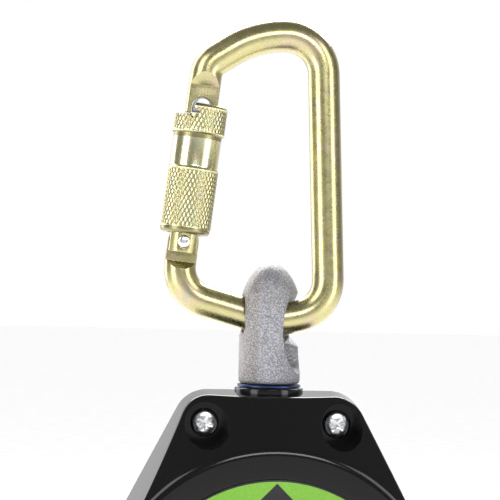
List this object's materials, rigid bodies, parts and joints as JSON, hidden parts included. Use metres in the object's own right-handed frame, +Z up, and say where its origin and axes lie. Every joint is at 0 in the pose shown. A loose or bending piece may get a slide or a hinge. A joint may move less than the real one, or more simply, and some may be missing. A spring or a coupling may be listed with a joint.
{
  "type": "self retracting lifeline",
  "caption": "Self retracting lifeline block: black housing with drum, brake and rewind spring, hung by a swivel eye from a twist-lock carabiner.",
  "frame": {"origin": "bearing point inside the top of the carabiner, on the load line", "axes": "+Z up along the load line, -Y out of the housing front, +X towards the carabiner spine"},
  "size_m": [0.1196, 0.068, 0.2706],
  "materials": {
    "chromate_steel": "yellow chromate plated, satin",
    "cast_grey": "fine sand texture, grey",
    "black_plastic": "glossy moulded black",
    "bright_steel": "bright",
    "plain_steel": "plain machined steel",
    "blued_steel": "dark blue",
    "bronze": "sintered bronze",
    "spring_steel": "oiled spring steel",
    "friction_lining": "woven friction lining",
    "green_print": "printed label, light green",
    "silver_print": "blank silver data plate",
    "wire_rope": "galvanised wire rope winding",
    "aluminium": "cast aluminium"
  },
  "bodies": {
    "carabiner": {"carabiner_body": "chromate_steel", "nose_keeper": "plain_steel", "gate_hinge_pin": "bright_steel"},
    "gate": {"gate_bar": "chromate_steel", "gate_latch_pin": "bright_steel", "gate_spring": "spring_steel", "sleeve_spring": "spring_steel"},
    "sleeve": {"lock_sleeve": "chromate_steel"},
    "eye": {"swivel_eye": "cast_grey", "swivel_nut": "plain_steel", "thrust_washer": "bronze"},
    "drum": {"drum": "aluminium", "wound_lifeline": "wire_rope", "front_bush": "bronze", "rear_bush": "bronze", "spring_arbor": "aluminium", "pawl_pin_1": "bright_steel", "pawl_pin_2": "bright_steel", "pawl_spring_1": "spring_steel", "pawl_spring_2": "spring_steel"},
    "pawl_a": {"pawl_1": "plain_steel"},
    "pawl_b": {"pawl_2": "plain_steel"},
    "ratchet": {"ratchet_wheel": "plain_steel"},
    "housing": {"eye_washer": "blued_steel", "front_cover": "black_plastic", "rear_cover": "black_plastic", "front_label": "green_print", "rear_label": "silver_print", "outlet_guide": "black_plastic", "front_frame_plate": "plain_steel", "rear_frame_plate": "plain_steel", "swivel_yoke": "plain_steel", "main_shaft": "bright_steel", "shaft_nut": "plain_steel", "brake_hub": "plain_steel", "rear_friction_disc": "friction_lining", "front_friction_disc": "friction_lining", "pressure_plate": "plain_steel", "disc_spring": "spring_steel", "brake_nut": "plain_steel", "spring_case": "aluminium", "power_spring": "spring_steel", "cover_screw_1": "bright_steel", "threaded_insert_1": "bronze", "cover_screw_2": "bright_steel", "threaded_insert_2": "bronze", "cover_screw_3": "bright_steel", "threaded_insert_3": "bronze", "cover_screw_4": "bright_steel", "threaded_insert_4": "bronze", "frame_spacer_1": "plain_steel", "frame_spacer_2": "plain_steel"}
  },
  "joints": [
    {"name": "gate_hinge", "type": "hinge", "parent": "carabiner", "child": "gate", "pos_m": [-0.0311, 0, -0.0672], "axis": [0, 1, 0], "range_deg": [0, 26], "stiffness_Nm_per_rad": 0.3, "springref_deg": -28.65},
    {"name": "sleeve_twist", "type": "hinge", "parent": "gate", "child": "sleeve", "pos_m": [-0.0311, 0, -0.0672], "axis": [0.1132, 0, 0.9936], "range_deg": [0, 90], "stiffness_Nm_per_rad": 0.08, "springref_deg": -22.92},
    {"name": "eye_tilt", "type": "hinge", "parent": "carabiner", "child": "eye", "pos_m": [0, 0, -0.0934], "axis": [1, 0, 0], "range_deg": [-90, 90]},
    {"name": "housing_swivel", "type": "hinge", "parent": "eye", "child": "housing", "pos_m": [0, 0, -0.12], "axis": [0, 0, 1], "continuous": true},
    {"name": "drum_spin", "type": "hinge", "parent": "housing", "child": "drum", "pos_m": [0, 0, -0.193], "axis": [0, 1, 0], "continuous": true},
    {"name": "brake_slip", "type": "hinge", "parent": "housing", "child": "ratchet", "pos_m": [0, 0, -0.193], "axis": [0, 1, 0], "continuous": true},
    {"name": "pawl_a_pivot", "type": "hinge", "parent": "drum", "child": "pawl_a", "pos_m": [0.035, 0, -0.193], "axis": [0, 1, 0], "range_deg": [0, 14], "stiffness_Nm_per_rad": 0.02, "springref_deg": -17.19},
    {"name": "pawl_b_pivot", "type": "hinge", "parent": "drum", "child": "pawl_b", "pos_m": [-0.035, 0, -0.193], "axis": [0, 1, 0], "range_deg": [0, 14], "stiffness_Nm_per_rad": 0.02, "springref_deg": -17.19}
  ]
}
